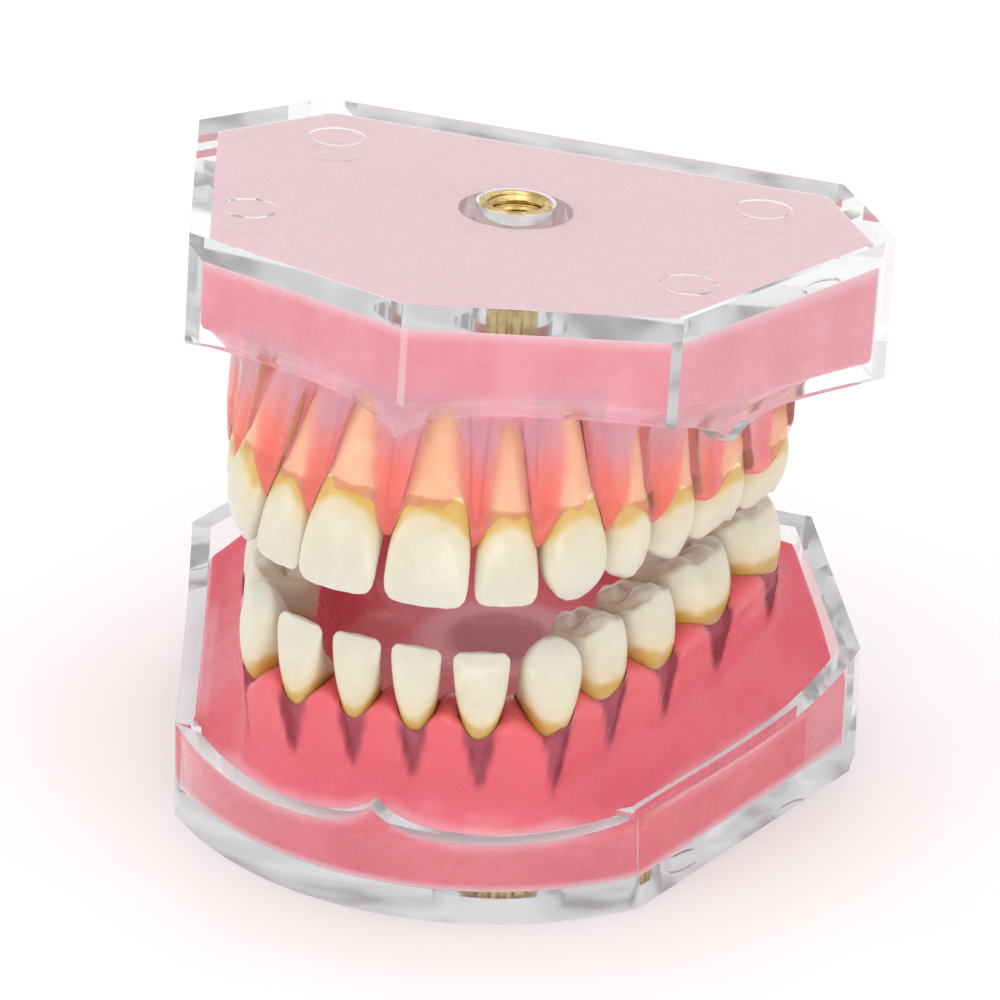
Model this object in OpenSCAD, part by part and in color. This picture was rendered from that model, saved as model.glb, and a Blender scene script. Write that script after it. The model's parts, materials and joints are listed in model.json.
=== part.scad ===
// Dental study model with removable teeth: two clear trays, each filled with a
// pink gum block that holds fourteen teeth by their tapered roots, and a brass
// threaded insert in the middle of each tray.
//
// Frame: the origin is the mouth of the threaded hole under the lower tray, +Z is
// up, -Y is the front of the mouth and +X is the patient's left. Millimetres.
// Each jaw is drawn in a jaw frame, z = 0 on the outside of the tray's plate and
// +Z towards the biting edges; the upper jaw is then turned over and put in place.

/* [Trays] */
// Thickness of the tray walls
tray_wall = 2.0; // [1.6:0.1:2.6]
// Thickness of the flat plate that closes each tray
tray_plate = 3.0; // [2.4:0.1:4]
// Half width of the lower tray at its widest
lower_half_width = 37; // [35:0.5:39]
// Half width of the lower tray across the front corners
lower_front_half = 25; // [24:0.5:26.5]
// Half width of the lower tray across the back
lower_back_half = 26; // [24:0.5:30]
// Lower tray, middle of the rounded front
lower_front_y = -38.1; // [-39:0.1:-37.4]
// Lower tray, front corners
lower_corner_y = -27.5; // [-28.5:0.1:-26]
// Lower tray, widest corners
lower_heel_y = 7.2; // [5:0.1:10]
// Lower tray, back edge
lower_back_y = 25.2; // [23:0.1:28]
// Half width of the upper tray at its widest
upper_half_width = 37.5; // [35:0.5:39]
// Half width of the upper tray across the front corners
upper_front_half = 25.6; // [24:0.2:27]
// Half width of the upper tray across the back
upper_back_half = 28.1; // [26:0.1:30]
// Upper tray, front point on the midline
upper_front_y = -34.6; // [-36:0.1:-34]
// Upper tray, front corners
upper_corner_y = -25.6; // [-27:0.1:-24]
// Upper tray, widest corners
upper_heel_y = 7.1; // [5:0.1:9]
// Upper tray, back edge
upper_back_y = 20.4; // [18:0.1:23]

/* [Rims] */
// Lower rim height along the front
lower_front_rim = 9.0; // [8.8:0.1:10]
// Lower rim height at the front corners
lower_corner_rim = 10.8; // [10:0.1:12]
// Lower rim height at the widest corners
lower_heel_rim = 14.2; // [12:0.1:15]
// Lower rim height along the back
lower_back_rim = 18.5; // [16:0.1:20]
// Upper rim height along the front
upper_front_rim = 10.8; // [10.5:0.1:12]
// Upper rim height at the front corners
upper_corner_rim = 11.4; // [11:0.1:12]
// Upper rim height from the widest corners round the back
upper_heel_rim = 15; // [13:0.1:16]
// Height of the peak at the lip fold on the midline
lip_peak = 3.1; // [1:0.1:4]
// Height of the peaks at the cheek folds of the upper rim
cheek_peak = 3.3; // [0:0.1:4]

/* [Brass inserts] */
// Radius of the hole in the brass insert, the minor radius of an M6 thread
thread_r = 2.5; // [2:0.1:2.7]
// Radius of the insert over its knurls
insert_r = 4.0; // [3.6:0.1:4.4]
// Length of the brass insert
insert_length = 8; // [6:0.5:9]
// Radius of the clear boss round the insert
boss_r = 5.8; // [5.4:0.1:6.4]
// Distance from the plate's outside to the end of the boss
boss_height = 11.2; // [10.6:0.1:12]
// Upper insert, from the middle of the upper tray's frame
upper_insert_y = -1.0; // [-3:0.1:2]
// Number of grooves in the knurl
knurl_count = 24; // [16:2:36]

/* [Teeth] */
// Height of the lower biting edges above the plate's outside
lower_bite = 28.6; // [27:0.1:30]
// Height of the upper biting edges from the plate's outside
upper_bite = 29.3; // [28:0.1:30]
// Gap between neighbouring upper teeth
upper_gap = 0.25; // [0.2:0.05:0.4]
// Gap between neighbouring lower teeth
lower_gap = 0.7; // [0.3:0.05:0.9]
// Room between a root and its socket
socket_room = 0.2; // [0.15:0.05:0.3]

/* [Jaw position] */
// Angle that the upper half is tipped open at rest
rest_opening = 6.4; // [4:0.5:12]
// Gap between the two rows of teeth when the model is closed
closed_gap = 0.4; // [0.3:0.05:1]
// Hinge line behind the back teeth
hinge_y = 21.5; // [18:0.1:24]
// Height of the hinge line
hinge_z = 33; // [30:0.5:40]
// How far the upper tray's frame stands from the lower one, minus is forwards
upper_shift = 0.3; // [-1:0.1:1]

/* [Hidden] */
$fn = 64;

// Colours
CLEAR = [0.86, 0.90, 0.93, 0.35];
UPPER_PINK = [0.93, 0.60, 0.64];
LOWER_PINK = [0.87, 0.38, 0.44];
IVORY = [0.93, 0.90, 0.80];
BRASS = [0.80, 0.65, 0.35];

// Room between pieces that are fixed together, and a little overlap for cuts
FIT = 0.06;
EPS = 0.5;
FAR = 60;

// Kinds of crown
INCISOR = 0;
CANINE = 1;
PREMOLAR = 2;
MOLAR = 3;

// Columns of the tooth tables
WIDTH = 0;
DEPTH = 1;
CROWN = 2;
ROOT = 3;
TIP = 4;
INSET = 5;
EDGE = 6;
KIND = 7;
TURN = 8;

// From the midline back: width along the arch, depth, crown height, root length,
// tip of the crown outwards in degrees, how far the tooth stands behind the arch
// line, how far its edge passes the bite plane, the kind of crown, and how far the
// tooth is turned from the arch line in degrees.
UPPER_TEETH = [
    [9.0, 7.0, 10.8, 12.0, 19, 0.0, 0.6, INCISOR, 4],
    [6.8, 6.0, 9.6, 11.5, 17, 0.9, 0.2, INCISOR, -8],
    [7.6, 7.6, 10.2, 13.0, 12, 0.0, 0.5, CANINE, -8],
    [7.0, 8.8, 8.4, 11.5, 0, 0.3, 0.0, PREMOLAR, -2],
    [6.9, 8.8, 8.2, 11.5, -3, 0.3, 0.0, PREMOLAR, 0],
    [10.0, 10.8, 7.6, 11.0, -5, 0.4, 0.0, MOLAR, 0],
    [9.2, 10.6, 7.4, 10.5, -6, 0.6, 0.0, MOLAR, 0]
];
LOWER_TEETH = [
    [5.5, 6.0, 9.0, 10.5, 5, 0.0, 0.0, INCISOR, 2],
    [6.0, 6.4, 9.2, 11.0, 4, 0.0, 0.0, INCISOR, -4],
    [6.9, 7.4, 10.0, 12.5, 1, 0.0, 0.4, CANINE, -8],
    [7.1, 7.6, 8.4, 12.0, -3, 0.2, 0.0, PREMOLAR, 0],
    [7.2, 8.2, 8.2, 12.0, -5, 0.2, 0.0, PREMOLAR, 0],
    [11.0, 10.2, 7.6, 11.5, -7, 0.4, 0.0, MOLAR, 0],
    [10.3, 9.8, 7.4, 11.0, -8, 0.5, 0.0, MOLAR, 0]
];

// Shape of each kind of crown from the neck (0) to the biting edge (1):
// half width as a share of the tooth's width, then where the outer and inner
// faces stand as shares of its depth (minus is towards the lips and cheeks).
HALF_WIDTH = [
    [[0, 0.38], [0.3, 0.44], [0.75, 0.49], [0.93, 0.48], [1, 0.44]],
    [[0, 0.38], [0.3, 0.44], [0.6, 0.49], [0.85, 0.34], [1, 0.09]],
    [[0, 0.38], [0.3, 0.45], [0.6, 0.49], [0.88, 0.42], [1, 0.28]],
    [[0, 0.42], [0.3, 0.47], [0.6, 0.49], [0.88, 0.45], [1, 0.34]]
];
OUTER_FACE = [
    [[0, -0.46], [0.25, -0.52], [0.6, -0.45], [1, -0.24]],
    [[0, -0.46], [0.25, -0.52], [0.6, -0.48], [1, -0.20]],
    [[0, -0.45], [0.3, -0.50], [0.6, -0.47], [0.88, -0.40], [1, -0.28]],
    [[0, -0.46], [0.3, -0.50], [0.6, -0.47], [0.88, -0.42], [1, -0.33]]
];
INNER_FACE = [
    [[0, 0.46], [0.15, 0.46], [0.5, 0.20], [1, -0.10]],
    [[0, 0.46], [0.2, 0.46], [0.6, 0.24], [1, -0.04]],
    [[0, 0.45], [0.4, 0.50], [0.7, 0.45], [0.88, 0.38], [1, 0.26]],
    [[0, 0.46], [0.4, 0.50], [0.7, 0.47], [0.88, 0.42], [1, 0.33]]
];
CROWN_LEVELS = [0, 0.15, 0.35, 0.6, 0.8, 0.93, 1];
RING_POINTS = 16;
RING_SQUARENESS = 0.8;
// How much narrower each kind of crown is on its inner side
INNER_TAPER = [0.34, 0.3, 0.12, 0.08];

// Roots of each kind of tooth: place along the arch and across it as shares of
// the width and depth, then the radius at the neck as a share of the width.
SINGLE_ROOT = [[0, 0, 0.3]];
DEEP_ROOT = [[0, 0, 0.33]];
UPPER_MOLAR_ROOTS = [[-0.22, -0.2, 0.17], [0.22, -0.2, 0.17], [0, 0.24, 0.19]];
LOWER_MOLAR_ROOTS = [[-0.22, 0, 0.2], [0.22, 0, 0.2]];
ROOT_TAPER = 0.42;

// Arch line through the biting edges: half width, front, back and fullness
UPPER_ARCH = [26.6, -36.5, 2.4, 3.5];
LOWER_ARCH = [25.2, -33.7, 6.7, 3.6];
ARCH_STEPS = 80;
ARCH_REACH = 1.12;

// Levels of each gum in its jaw frame: outer ledge, floor, crest at the front,
// and the crest's rise for each millimetre towards the back.
UPPER_GUM = [9.6, 11.3, 18.4, 0.062];
LOWER_GUM = [8.0, 11.3, 18.6, 0.045];
RIDGE_STEPS = 28;

upper_top = lower_bite + closed_gap + upper_bite;

// ---------- outlines ----------

// The straight-sided outline of the upper tray, inset by d
function upper_outline(d) = inset([
    [0, upper_front_y], [upper_front_half, upper_corner_y],
    [upper_half_width, upper_heel_y], [upper_back_half, upper_back_y],
    [-upper_back_half, upper_back_y], [-upper_half_width, upper_heel_y],
    [-upper_front_half, upper_corner_y]
], d);

// The lower tray's outline behind its rounded front
function lower_body(d) = inset([
    [-lower_front_half, lower_corner_y], [0, lower_corner_y], [lower_front_half, lower_corner_y],
    [lower_half_width, lower_heel_y], [lower_back_half, lower_back_y],
    [-lower_back_half, lower_back_y], [-lower_half_width, lower_heel_y]
], d);

// A convex outline, anticlockwise, with each side moved inwards by d
function inset(points, d) = [
    for (i = [0 : len(points) - 1])
        let (
            before = points[(i + len(points) - 1) % len(points)],
            here = points[i],
            after = points[(i + 1) % len(points)],
            n1 = inward(before, here),
            n2 = inward(here, after)
        )
        here + d * (n1 + n2) / (1 + n1 * n2)
];
function inward(a, b) = [a.y - b.y, b.x - a.x] / norm(b - a);

front_sag = lower_corner_y - lower_front_y;
front_radius = (lower_front_half * lower_front_half + front_sag * front_sag) / (2 * front_sag);

module lower_outline(d) {
    polygon(lower_body(d));
    intersection() {
        translate([0, lower_front_y + front_radius]) circle(r = front_radius - d, $fn = 180);
        front_window(d);
    }
}

// The part of the front circle that is used, closed behind the front corners
module front_window(d) {
    corner = lower_body(d)[2];
    polygon([
        [-corner.x, corner.y + EPS + d], [-corner.x, corner.y], [-corner.x - EPS, -FAR],
        [corner.x + EPS, -FAR], [corner.x, corner.y], [corner.x, corner.y + EPS + d]
    ]);
}

module jaw_outline(jaw, d) {
    if (jaw == "upper") polygon(upper_outline(d));
    else lower_outline(d);
}

// ---------- tray rims ----------

function peak(distance, spread) = exp(-abs(distance) / spread);

// Rim height along the front at x
function front_rim(jaw, x) = jaw == "upper"
    ? upper_front_rim + lip_peak * peak(x, 3.5)
        + (upper_corner_rim - upper_front_rim) * pow(abs(x) / upper_front_half, 4)
    : lower_front_rim + lip_peak * peak(x, 3)
        + (lower_corner_rim - lower_front_rim) * pow(abs(x) / lower_front_half, 4);

// Rim height along a side, t from the front corner (0) to the widest corner (1)
function side_rim(jaw, t) = jaw == "upper"
    ? upper_corner_rim + (upper_heel_rim - upper_corner_rim) * t
        + cheek_peak * (peak(t - 0.27, 0.09) - peak(0.27, 0.09) * (1 - t))
    : lower_corner_rim - 0.5 * sin(180 * t) + (lower_heel_rim - lower_corner_rim) * pow(t, 6);

// What is cut off the walls above the rim along the front
module front_cut(jaw) {
    half = jaw == "upper" ? upper_front_half : lower_front_half;
    corner_y = jaw == "upper" ? upper_corner_y : lower_corner_y;
    rim = [for (i = [-24 : 24]) [half * i / 24, front_rim(jaw, half * i / 24)]];
    translate([0, corner_y, 0])
        rotate([90, 0, 0])
            linear_extrude(FAR)
                polygon(concat(rim, [[half, FAR], [-half, FAR]]));
}

// What is cut off above the rim along the left side
module side_cut(jaw) {
    front = jaw == "upper" ? upper_corner_y : lower_corner_y;
    back = jaw == "upper" ? upper_heel_y : lower_heel_y;
    inner = jaw == "upper" ? upper_front_half : lower_front_half;
    steps = 40;
    rim = [for (i = [0 : steps]) [front + (back - front) * i / steps, side_rim(jaw, i / steps)]];
    translate([inner - 3 * tray_wall, 0, 0])
        rotate([90, 0, 90])
            linear_extrude(FAR)
                polygon(concat(rim, [[back, FAR], [front, FAR]]));
}

// What is cut off above the lower rim from the widest corners to the back
module back_cut() {
    translate([-FAR, 0, 0])
        rotate([90, 0, 90])
            linear_extrude(2 * FAR)
                polygon([
                    [lower_heel_y, lower_heel_rim], [lower_back_y, lower_back_rim],
                    [FAR, lower_back_rim], [FAR, FAR], [lower_heel_y, FAR]
                ]);
}

// ---------- trays ----------

module ejector_marks(half_x, front_y, back_y) {
    for (x = [-half_x, half_x], y = [front_y, back_y])
        translate([x, y, -EPS])
            difference() {
                cylinder(h = EPS + 0.15, r = 3);
                cylinder(h = EPS + 0.15, r = 2.6);
            }
}

module tray(jaw, insert_y, rim_top) {
    difference() {
        union() {
            difference() {
                linear_extrude(rim_top) jaw_outline(jaw, 0);
                translate([0, 0, tray_plate]) linear_extrude(FAR) jaw_outline(jaw, tray_wall);
                front_cut(jaw);
                side_cut(jaw);
                mirror([1, 0, 0]) side_cut(jaw);
                if (jaw == "lower") back_cut();
            }
            translate([0, insert_y, 0]) cylinder(h = boss_height, r = boss_r);
        }
        translate([0, insert_y, -EPS])
            cylinder(h = insert_length + EPS + 0.5, r = insert_r + FIT);
        ejector_marks(23, -16, 9);
    }
}

// ---------- brass insert ----------

module knurled_band(length) {
    step = 360 / knurl_count;
    linear_extrude(length)
        polygon([
            for (i = [0 : knurl_count - 1])
                for (side = [[0, insert_r], [0.5, insert_r - 0.35]])
                    side[1] * [cos((i + side[0]) * step), sin((i + side[0]) * step)]
        ]);
}

module insert() {
    groove = 0.8;
    collar = 0.8;
    band = (insert_length - collar - groove) / 2;
    difference() {
        union() {
            cylinder(h = insert_length, r = insert_r - 0.6);
            cylinder(h = collar, r = insert_r - 0.3);
            translate([0, 0, collar]) knurled_band(band);
            translate([0, 0, collar + band + groove]) knurled_band(band);
        }
        translate([0, 0, -EPS]) cylinder(h = insert_length + 2 * EPS, r = thread_r);
    }
}

// ---------- arch and teeth ----------

function arch_point(arch, u) = [
    arch[0] * u,
    arch[1] + (arch[2] - arch[1]) * pow(abs(u), arch[3])
];

// Pairs of distance along the arch and u
function arch_lengths(arch) = [
    for (i = 0, s = 0; i <= ARCH_STEPS;
        s = s + norm(arch_point(arch, (i + 1) * ARCH_REACH / ARCH_STEPS)
            - arch_point(arch, i * ARCH_REACH / ARCH_STEPS)),
        i = i + 1)
        [s, i * ARCH_REACH / ARCH_STEPS]
];

function teeth_of(jaw) = jaw == "upper" ? UPPER_TEETH : LOWER_TEETH;
function arch_of(jaw) = jaw == "upper" ? UPPER_ARCH : LOWER_ARCH;
function gap_of(jaw) = jaw == "upper" ? upper_gap : lower_gap;
function bite_of(jaw) = jaw == "upper" ? upper_bite : lower_bite;

// Distance along the arch from the midline to the middle of tooth k
function distance_to(jaw, k) = (k == 0 ? 0 : width_before(jaw, k)) + gap_of(jaw) * (k + 0.5)
    + teeth_of(jaw)[k][WIDTH] / 2;
function width_before(jaw, k) = k == 0 ? 0 : teeth_of(jaw)[k - 1][WIDTH] + width_before(jaw, k - 1);

// Where tooth k stands: [point on the arch line, direction the arch runs in, in degrees]
function stand(jaw, k) =
    let (
        arch = arch_of(jaw),
        u = lookup(distance_to(jaw, k), arch_lengths(arch)),
        along = arch_point(arch, u + 0.01) - arch_point(arch, u - 0.01)
    )
    [arch_point(arch, u), atan2(along.y, along.x) + teeth_of(jaw)[k][TURN]];

// Puts a tooth, drawn with its neck at z = 0 and its outer face at -Y, in the left half
module at_stand(jaw, k) {
    tooth = teeth_of(jaw)[k];
    spot = stand(jaw, k);
    edge_y = tooth[DEPTH] * (face_at(OUTER_FACE, tooth, 1) + (tooth[KIND] < PREMOLAR ? 0.07 : 0));
    translate([spot[0].x, spot[0].y, bite_of(jaw) + tooth[EDGE]])
        rotate([0, 0, spot[1]])
            rotate([tooth[TIP], 0, 0])
                translate([0, tooth[INSET] - edge_y, -tooth[CROWN]])
                    children();
}

function face_at(face, tooth, level) = lookup(level, face[tooth[KIND]]);

// One closed ring round the crown at a level
function crown_ring(tooth, level) =
    let (
        outer = face_at(OUTER_FACE, tooth, level) * tooth[DEPTH],
        inner = face_at(INNER_FACE, tooth, level) * tooth[DEPTH],
        half = face_at(HALF_WIDTH, tooth, level) * tooth[WIDTH]
    )
    [
        for (i = [0 : RING_POINTS - 1])
            let (a = 360 * i / RING_POINTS)
            [
                half * squared(cos(a)) * (1 - INNER_TAPER[tooth[KIND]] * (1 + squared(sin(a))) / 2),
                (outer + inner) / 2 + (inner - outer) / 2 * squared(sin(a)),
                level * tooth[CROWN]
            ]
    ];
function squared(v) = sign(v) * pow(abs(v), RING_SQUARENESS);

// A closed solid through rings that all have n points, from the lowest up
module stacked(rings) {
    n = len(rings[0]);
    last = len(rings) - 1;
    polyhedron(
        points = [for (ring = rings) each ring],
        faces = concat(walls_between(n, last), [[for (i = [0 : n - 1]) i]],
            [[for (i = [n - 1 : -1 : 0]) last * n + i]])
    );
}

// The same for rings that run out along one side of a band and back along the other
module stacked_band(rings) {
    n = len(rings[0]);
    last = len(rings) - 1;
    polyhedron(
        points = [for (ring = rings) each ring],
        faces = concat(
            walls_between(n, last),
            [for (i = [0 : n / 2 - 2]) each [[i, i + 1, n - 1 - i], [i + 1, n - 2 - i, n - 1 - i]]],
            [for (i = [0 : n / 2 - 2])
                each [
                    [last * n + i + 1, last * n + i, last * n + n - 1 - i],
                    [last * n + n - 2 - i, last * n + i + 1, last * n + n - 1 - i]
                ]]
        )
    );
}

function walls_between(n, last) = [
    for (k = [0 : last - 1], i = [0 : n - 1])
        let (next = (i + 1) % n)
        each [
            [k * n + i, (k + 1) * n + i, (k + 1) * n + next],
            [k * n + i, (k + 1) * n + next, k * n + next]
        ]
];

function roots_of(jaw, tooth) = tooth[KIND] == MOLAR
    ? (jaw == "upper" ? UPPER_MOLAR_ROOTS : LOWER_MOLAR_ROOTS)
    : (tooth[KIND] == CANINE ? DEEP_ROOT : SINGLE_ROOT);

// The tapered roots, grown by room for the sockets, reaching up into the crown
module roots(jaw, tooth, room, reach) {
    for (spot = roots_of(jaw, tooth)) {
        r = spot[2] * tooth[WIDTH];
        translate([spot[0] * tooth[WIDTH], spot[1] * tooth[DEPTH], -tooth[ROOT] - room])
            cylinder(h = tooth[ROOT] + room, r1 = r * ROOT_TAPER + room, r2 = r + room);
        translate([spot[0] * tooth[WIDTH], spot[1] * tooth[DEPTH], -EPS / 2])
            cylinder(h = reach + EPS / 2, r = r + room);
    }
}

module tooth(jaw, k) {
    shape = teeth_of(jaw)[k];
    at_stand(jaw, k) {
        stacked([for (level = CROWN_LEVELS) crown_ring(shape, level)]);
        roots(jaw, shape, 0, 1);
    }
}

// The hole for tooth k: its sockets and the seat under its crown
module socket(jaw, k) {
    shape = teeth_of(jaw)[k];
    seat_r = max(shape[WIDTH], shape[DEPTH]) / 2 + 0.3;
    at_stand(jaw, k) {
        roots(jaw, shape, socket_room, 2);
        translate([0, 0, -socket_room]) cylinder(h = 12, r = seat_r);
    }
}

// ---------- gums ----------

// A band that follows the arch, out to `outer` and in to `inner` from its line, at one level
function band_ring(jaw, outer, inner, level, rise) =
    let (arch = arch_of(jaw))
    concat(
        [for (i = [-RIDGE_STEPS : RIDGE_STEPS]) on_band(arch, i / RIDGE_STEPS, outer, level, rise)],
        [for (i = [RIDGE_STEPS : -1 : -RIDGE_STEPS]) on_band(arch, i / RIDGE_STEPS, -inner, level, rise)]
    );
function on_band(arch, u, out, level, rise) =
    let (
        grown = [arch[0] + out, arch[1] - out, arch[2] + 7, arch[3]],
        p = arch_point(grown, u)
    )
    [p.x, p.y, level + rise * (p.y - arch[1])];

// The ridge that the roots stand in
module ridge(jaw, ledge, crest, rise) {
    stacked_band([
        band_ring(jaw, 3.4, 14, ledge - 1, 0),
        band_ring(jaw, 2.6, 12.6, (ledge + crest) / 2, rise / 2),
        band_ring(jaw, 1.6, 10.6, crest - 1.2, rise),
        band_ring(jaw, 0.4, 9.4, crest, rise)
    ]);
}

// Inside the tray up to the top of the peak at the lip fold, and free beyond it
module gum_space(jaw) {
    rim = jaw == "upper" ? upper_front_rim : lower_front_rim;
    translate([0, 0, tray_plate + FIT])
        linear_extrude(rim + lip_peak) jaw_outline(jaw, tray_wall + FIT);
    translate([-FAR, -FAR, rim + lip_peak + FIT]) cube(2 * FAR);
}

module gum(jaw, levels, insert_y) {
    difference() {
        union() {
            translate([0, 0, tray_plate + FIT])
                linear_extrude(levels[0] - tray_plate - FIT) jaw_outline(jaw, tray_wall + FIT);
            intersection() {
                union() {
                    ridge(jaw, levels[0], levels[2], levels[3]);
                    linear_extrude(levels[1]) polygon(floor_outline(jaw));
                }
                gum_space(jaw);
            }
        }
        translate([0, insert_y, 0]) cylinder(h = FAR, r = boss_r + FIT);
        for (k = [0 : 6]) {
            socket(jaw, k);
            mirror([1, 0, 0]) socket(jaw, k);
        }
    }
}

// The floor of the mouth or the palate, inside the ridge
function floor_outline(jaw) =
    let (arch = arch_of(jaw))
    [for (i = [-RIDGE_STEPS : RIDGE_STEPS])
        let (p = on_band(arch, i / RIDGE_STEPS, -6, 0, 0)) [p.x, p.y]];

// ---------- placing ----------

// Turns the upper jaw over and puts it above the lower one, tipped open
module upper_place() {
    translate([0, hinge_y, hinge_z])
        rotate([-rest_opening, 0, 0])
            translate([0, upper_shift - hinge_y, upper_top - hinge_z])
                mirror([0, 0, 1])
                    children();
}

module lower_tray() color(CLEAR) tray("lower", 0, lower_back_rim);
module lower_gum() color(LOWER_PINK) gum("lower", LOWER_GUM, 0);
module lower_brass_insert() color(BRASS) insert();
module upper_tray() color(CLEAR) upper_place() tray("upper", upper_insert_y, upper_heel_rim);
module upper_gum() color(UPPER_PINK) upper_place() gum("upper", UPPER_GUM, upper_insert_y);
module upper_brass_insert()
    color(BRASS) upper_place() translate([0, upper_insert_y, 0]) insert();

// Tooth k on one side, counted back from the midline; side is 1 for left and -1 for right
module lower_tooth(k, side) color(IVORY) mirror([side < 0 ? 1 : 0, 0, 0]) tooth("lower", k);
module upper_tooth(k, side)
    color(IVORY) upper_place() mirror([side < 0 ? 1 : 0, 0, 0]) tooth("upper", k);

lower_tray();
lower_gum();
lower_brass_insert();
upper_tray();
upper_gum();
upper_brass_insert();
upper_tooth(0, 1);  // upper_left_central_incisor
upper_tooth(1, 1);  // upper_left_lateral_incisor
upper_tooth(2, 1);  // upper_left_canine
upper_tooth(3, 1);  // upper_left_first_premolar
upper_tooth(4, 1);  // upper_left_second_premolar
upper_tooth(5, 1);  // upper_left_first_molar
upper_tooth(6, 1);  // upper_left_second_molar
upper_tooth(0, -1);  // upper_right_central_incisor
upper_tooth(1, -1);  // upper_right_lateral_incisor
upper_tooth(2, -1);  // upper_right_canine
upper_tooth(3, -1);  // upper_right_first_premolar
upper_tooth(4, -1);  // upper_right_second_premolar
upper_tooth(5, -1);  // upper_right_first_molar
upper_tooth(6, -1);  // upper_right_second_molar
lower_tooth(0, 1);  // lower_left_central_incisor
lower_tooth(1, 1);  // lower_left_lateral_incisor
lower_tooth(2, 1);  // lower_left_canine
lower_tooth(3, 1);  // lower_left_first_premolar
lower_tooth(4, 1);  // lower_left_second_premolar
lower_tooth(5, 1);  // lower_left_first_molar
lower_tooth(6, 1);  // lower_left_second_molar
lower_tooth(0, -1);  // lower_right_central_incisor
lower_tooth(1, -1);  // lower_right_lateral_incisor
lower_tooth(2, -1);  // lower_right_canine
lower_tooth(3, -1);  // lower_right_first_premolar
lower_tooth(4, -1);  // lower_right_second_premolar
lower_tooth(5, -1);  // lower_right_first_molar
lower_tooth(6, -1);  // lower_right_second_molar
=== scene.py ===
import json
import math

import bmesh
import bpy
import numpy as np
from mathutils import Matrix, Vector
from mathutils.bvhtree import BVHTree


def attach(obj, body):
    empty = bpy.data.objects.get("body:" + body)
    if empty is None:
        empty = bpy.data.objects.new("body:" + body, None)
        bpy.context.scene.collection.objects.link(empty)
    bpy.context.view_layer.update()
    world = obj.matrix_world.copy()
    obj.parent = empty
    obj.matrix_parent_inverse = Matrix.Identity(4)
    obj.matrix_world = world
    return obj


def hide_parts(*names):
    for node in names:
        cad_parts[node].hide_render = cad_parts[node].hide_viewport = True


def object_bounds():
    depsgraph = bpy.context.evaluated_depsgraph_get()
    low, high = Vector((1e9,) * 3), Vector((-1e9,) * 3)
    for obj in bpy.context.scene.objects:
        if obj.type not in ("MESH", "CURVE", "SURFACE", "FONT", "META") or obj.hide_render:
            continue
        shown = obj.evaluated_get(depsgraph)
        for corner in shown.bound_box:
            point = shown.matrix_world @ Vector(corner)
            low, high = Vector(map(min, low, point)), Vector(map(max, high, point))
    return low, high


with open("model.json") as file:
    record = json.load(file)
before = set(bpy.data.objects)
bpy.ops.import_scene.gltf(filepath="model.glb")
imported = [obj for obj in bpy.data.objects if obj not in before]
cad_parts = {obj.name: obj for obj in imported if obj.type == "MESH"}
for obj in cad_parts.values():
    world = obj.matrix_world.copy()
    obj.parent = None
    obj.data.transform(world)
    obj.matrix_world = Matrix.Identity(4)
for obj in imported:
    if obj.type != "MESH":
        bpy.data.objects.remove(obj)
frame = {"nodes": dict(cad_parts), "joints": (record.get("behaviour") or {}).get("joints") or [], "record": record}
cad_low, cad_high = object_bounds()

# Everything below is worked out in millimetres in a jaw frame and stored in metres.
MM = 0.001
JAWS = ("lower", "upper")
SIDES = {"left": 1, "right": -1}
TEETH = (
    "central_incisor", "lateral_incisor", "canine", "first_premolar",
    "second_premolar", "first_molar", "second_molar",
)

# Per tooth, from the midline back: width along the arch, depth, crown height, root
# length and the direction that the tooth faces, in degrees from the front.
SIZES = {
    "upper": (
        (9.0, 7.0, 10.8, 12.0, 8), (6.8, 6.0, 9.6, 11.5, 28), (7.6, 7.6, 10.2, 13.0, 51),
        (7.0, 8.8, 8.4, 11.5, 67), (6.9, 8.8, 8.2, 11.5, 73), (10.0, 10.8, 7.6, 11.0, 77),
        (9.2, 10.6, 7.4, 10.5, 79),
    ),
    "lower": (
        (5.5, 6.0, 9.0, 10.5, 3), (6.0, 6.4, 9.2, 11.0, 20), (6.9, 7.4, 10.0, 12.5, 47),
        (7.1, 7.6, 8.4, 12.0, 68), (7.2, 8.2, 8.2, 12.0, 74), (11.0, 10.2, 7.6, 11.5, 78),
        (10.3, 9.8, 7.4, 11.0, 80),
    ),
}
KIND = ("incisor", "incisor", "canine", "premolar", "premolar", "molar", "molar")

# Crown shapes from the neck (0) to the biting edge (1): half width as a share of
# the width, then the outer and inner faces as shares of the depth.
HALF_WIDTH = {
    "upper incisor": (
        (0, .36), (.12, .40), (.35, .45), (.7, .49), (.84, .487), (.93, .45), (.98, .37), (1, .28),
    ),
    "lower incisor": ((0, .29), (.15, .33), (.4, .41), (.7, .475), (.9, .495), (.96, .48), (1, .41)),
    "upper canine": (
        (0, .37), (.15, .41), (.4, .47), (.6, .49), (.78, .43), (.9, .31), (.97, .20), (1, .11),
    ),
    "lower canine": (
        (0, .31), (.15, .35), (.4, .44), (.65, .49), (.82, .45), (.92, .34), (.97, .23), (1, .13),
    ),
    "premolar": ((0, .38), (.2, .43), (.5, .485), (.7, .49), (.86, .45)),
    "molar": ((0, .42), (.2, .455), (.5, .488), (.7, .49), (.86, .465)),
}
OUTER_FACE = {
    "incisor": ((0, -.45), (.12, -.50), (.3, -.515), (.6, -.45), (.9, -.31), (1, -.22)),
    "canine": ((0, -.45), (.15, -.50), (.35, -.52), (.65, -.46), (.9, -.30), (1, -.18)),
    "premolar": ((0, -.44), (.2, -.49), (.45, -.50), (.7, -.46), (.86, -.41)),
    "molar": ((0, -.45), (.2, -.49), (.4, -.50), (.7, -.46), (.86, -.42)),
}
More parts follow.
